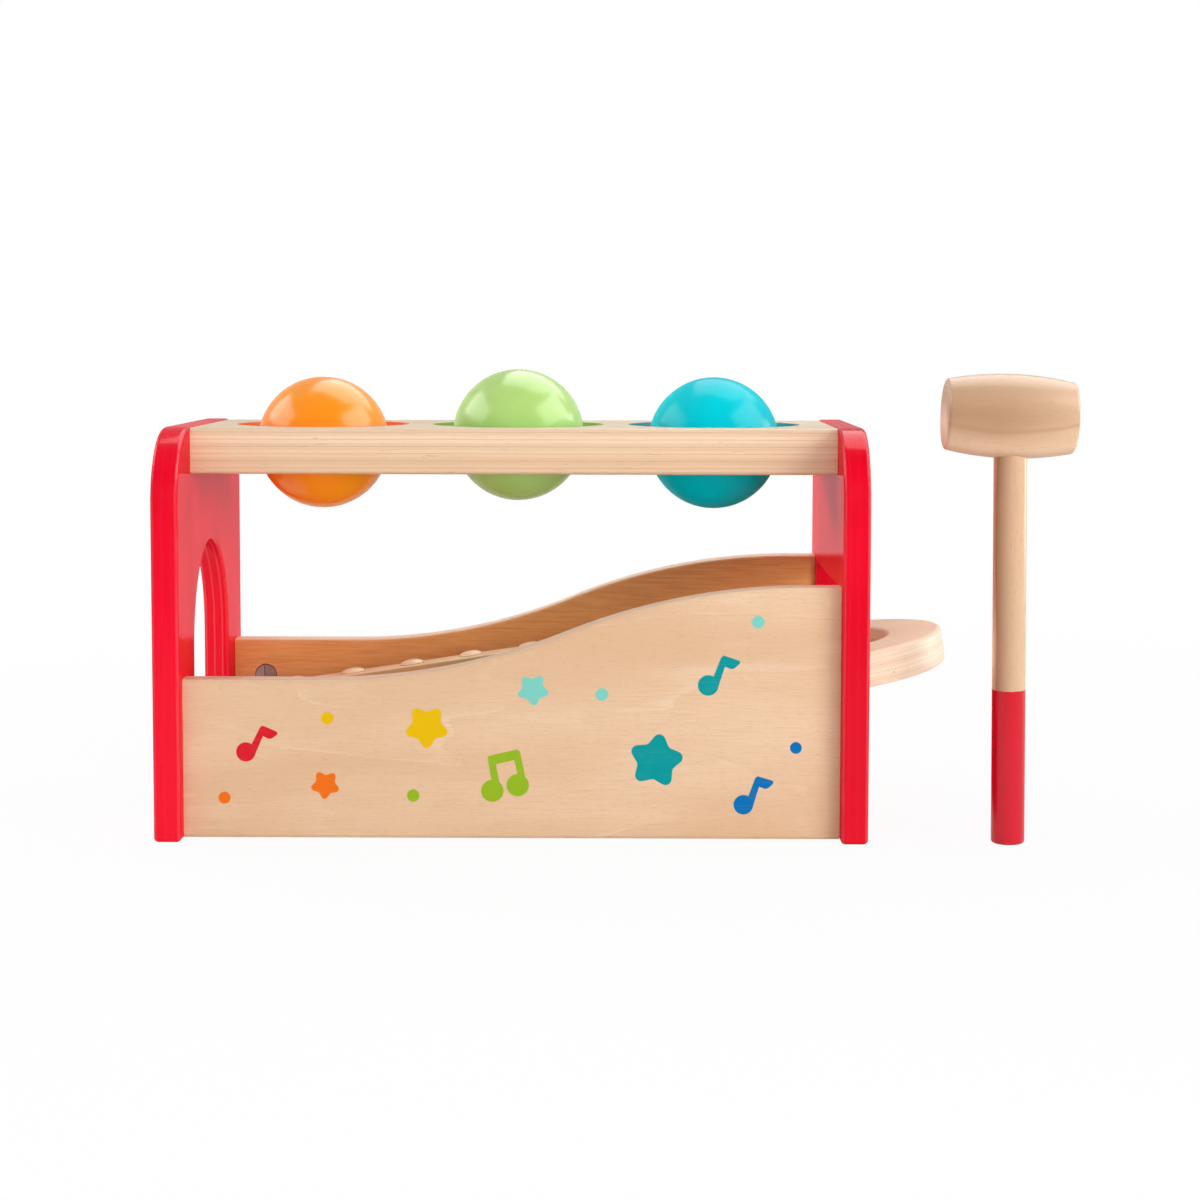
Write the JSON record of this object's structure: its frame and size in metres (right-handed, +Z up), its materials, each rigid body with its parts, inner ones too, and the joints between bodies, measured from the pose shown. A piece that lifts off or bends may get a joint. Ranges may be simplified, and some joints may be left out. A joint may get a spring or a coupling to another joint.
{
  "type": "pound and tap ball bench",
  "caption": "Wooden pound-and-tap bench: balls in collars drop through a board onto a sloping slide-out xylophone and leave by an arch; with a hammer.",
  "frame": {"origin": "on the floor, under the middle of the box round bench and hammer", "axes": "+X along the bench to the xylophone's handle and the hammer, +Y to the back, +Z up"},
  "size_m": [0.3036, 0.1383, 0.1549],
  "materials": {
    "red_lacquer": "gloss red lacquer on plywood",
    "side_plywood": "clear satin varnish on birch plywood",
    "board_plywood": "clear satin varnish on thick birch plywood",
    "base_plywood": "clear satin varnish on birch plywood",
    "runner_wood": "plain beech, sanded",
    "hammer_wood": "turned beech, satin, red painted grip",
    "orange_ball": "satin paint on turned wood",
    "green_ball": "satin paint on turned wood",
    "teal_ball": "satin paint on turned wood",
    "orange_collar": "soft moulded collar",
    "green_collar": "soft moulded collar",
    "teal_collar": "soft moulded collar",
    "rail": "moulded strip with domed bosses",
    "felt": "pressed felt",
    "steel": "plain zinc-plated steel",
    "key_1": "gloss enamel on a metal bar",
    "key_2": "gloss enamel on a metal bar",
    "key_3": "gloss enamel on a metal bar",
    "key_4": "gloss enamel on a metal bar",
    "key_5": "gloss enamel on a metal bar",
    "key_6": "gloss enamel on a metal bar",
    "key_7": "gloss enamel on a metal bar",
    "key_8": "gloss enamel on a metal bar"
  },
  "bodies": {
    "bench": {"left_end_panel": "red_lacquer", "right_end_panel": "red_lacquer", "front_side_panel": "side_plywood", "back_side_panel": "side_plywood", "top_board": "board_plywood", "orange_collar": "orange_collar", "green_collar": "green_collar", "teal_collar": "teal_collar", "front_runner": "runner_wood", "back_runner": "runner_wood", "bolts": "steel", "barrel_nuts": "steel", "dowels": "runner_wood"},
    "orange_ball": {"orange_ball": "orange_ball"},
    "green_ball": {"green_ball": "green_ball"},
    "teal_ball": {"teal_ball": "teal_ball"},
    "xylophone": {"xylophone_base": "base_plywood", "front_key_rail": "rail", "back_key_rail": "rail", "front_felt_strip": "felt", "back_felt_strip": "felt", "key_1": "key_1", "key_2": "key_2", "key_3": "key_3", "key_4": "key_4", "key_5": "key_5", "key_6": "key_6", "key_7": "key_7", "key_8": "key_8", "key_screws": "steel"},
    "hammer": {"hammer_head": "hammer_wood", "hammer_handle": "hammer_wood"}
  },
  "joints": [
    {"name": "orange_ball_drop", "type": "slide", "parent": "bench", "child": "orange_ball", "axis": [0, 0, 1], "range_m": [-0.068, 0.035]},
    {"name": "green_ball_drop", "type": "slide", "parent": "bench", "child": "green_ball", "axis": [0, 0, 1], "range_m": [-0.0605, 0.035]},
    {"name": "teal_ball_drop", "type": "slide", "parent": "bench", "child": "teal_ball", "axis": [0, 0, 1], "range_m": [-0.0475, 0.035]},
    {"name": "xylophone_slide", "type": "slide", "parent": "bench", "child": "xylophone", "axis": [0.989, 0, 0.1478], "range_m": [0, 0.23]},
    {"name": "hammer_lift", "type": "slide", "parent": "bench", "child": "hammer", "axis": [0, 0, 1], "range_m": [0, 0.12]}
  ]
}
